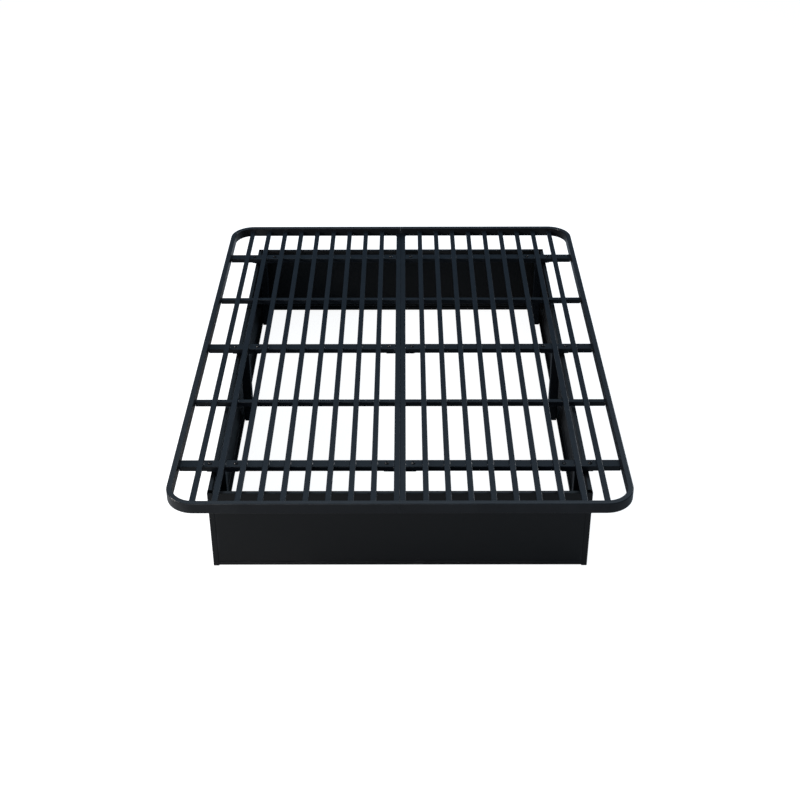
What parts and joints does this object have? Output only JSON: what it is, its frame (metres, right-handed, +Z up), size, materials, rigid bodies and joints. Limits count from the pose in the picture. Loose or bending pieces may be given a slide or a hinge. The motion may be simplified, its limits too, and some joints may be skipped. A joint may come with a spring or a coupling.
{
  "type": "platform bed frame",
  "caption": "Black powder-coated steel platform bed frame: round-cornered slatted deck in two halves on an inset panelled base with legs.",
  "frame": {"origin": "on the floor, at the middle of the bed's plan", "axes": "+X across the bed to the right seen from the foot end, +Y along the bed from the foot end to the head end, +Z up"},
  "size_m": [1.57, 2.09, 0.373],
  "materials": {
    "rim_coat": "satin black powder coat",
    "slat_coat": "satin blue-black powder coat",
    "rail_coat": "satin black powder coat",
    "panel_coat": "matte black powder coat",
    "foot_plastic": "moulded black plastic"
  },
  "bodies": {
    "root": {"rim_left": "rim_coat", "rim_right": "rim_coat", "centre_rail_left": "rail_coat", "centre_rail_right": "rail_coat", "slat_left_1": "slat_coat", "slat_left_2": "slat_coat", "slat_left_3": "slat_coat", "slat_left_4": "slat_coat", "slat_left_5": "slat_coat", "slat_left_6": "slat_coat", "slat_left_7": "slat_coat", "slat_left_8": "slat_coat", "slat_left_9": "slat_coat", "slat_right_1": "slat_coat", "slat_right_2": "slat_coat", "slat_right_3": "slat_coat", "slat_right_4": "slat_coat", "slat_right_5": "slat_coat", "slat_right_6": "slat_coat", "slat_right_7": "slat_coat", "slat_right_8": "slat_coat", "slat_right_9": "slat_coat", "crossbar_left_1": "rail_coat", "crossbar_left_2": "rail_coat", "crossbar_left_3": "rail_coat", "crossbar_left_4": "rail_coat", "crossbar_left_5": "rail_coat", "crossbar_right_1": "rail_coat", "crossbar_right_2": "rail_coat", "crossbar_right_3": "rail_coat", "crossbar_right_4": "rail_coat", "crossbar_right_5": "rail_coat", "joining_plate_1": "rail_coat", "joining_plate_2": "rail_coat", "joining_plate_3": "rail_coat", "corner_post_front_left": "panel_coat", "post_foot_front_left": "foot_plastic", "corner_post_rear_left": "panel_coat", "post_foot_rear_left": "foot_plastic", "corner_post_front_right": "panel_coat", "post_foot_front_right": "foot_plastic", "corner_post_rear_right": "panel_coat", "post_foot_rear_right": "foot_plastic", "panel_front": "panel_coat", "panel_rear": "panel_coat", "panel_left": "panel_coat", "panel_right": "panel_coat", "leg_left_1": "rail_coat", "leg_foot_left_1": "foot_plastic", "leg_left_2": "rail_coat", "leg_foot_left_2": "foot_plastic", "leg_left_3": "rail_coat", "leg_foot_left_3": "foot_plastic", "leg_right_1": "rail_coat", "leg_foot_right_1": "foot_plastic", "leg_right_2": "rail_coat", "leg_foot_right_2": "foot_plastic", "leg_right_3": "rail_coat", "leg_foot_right_3": "foot_plastic"}
  },
  "joints": []
}
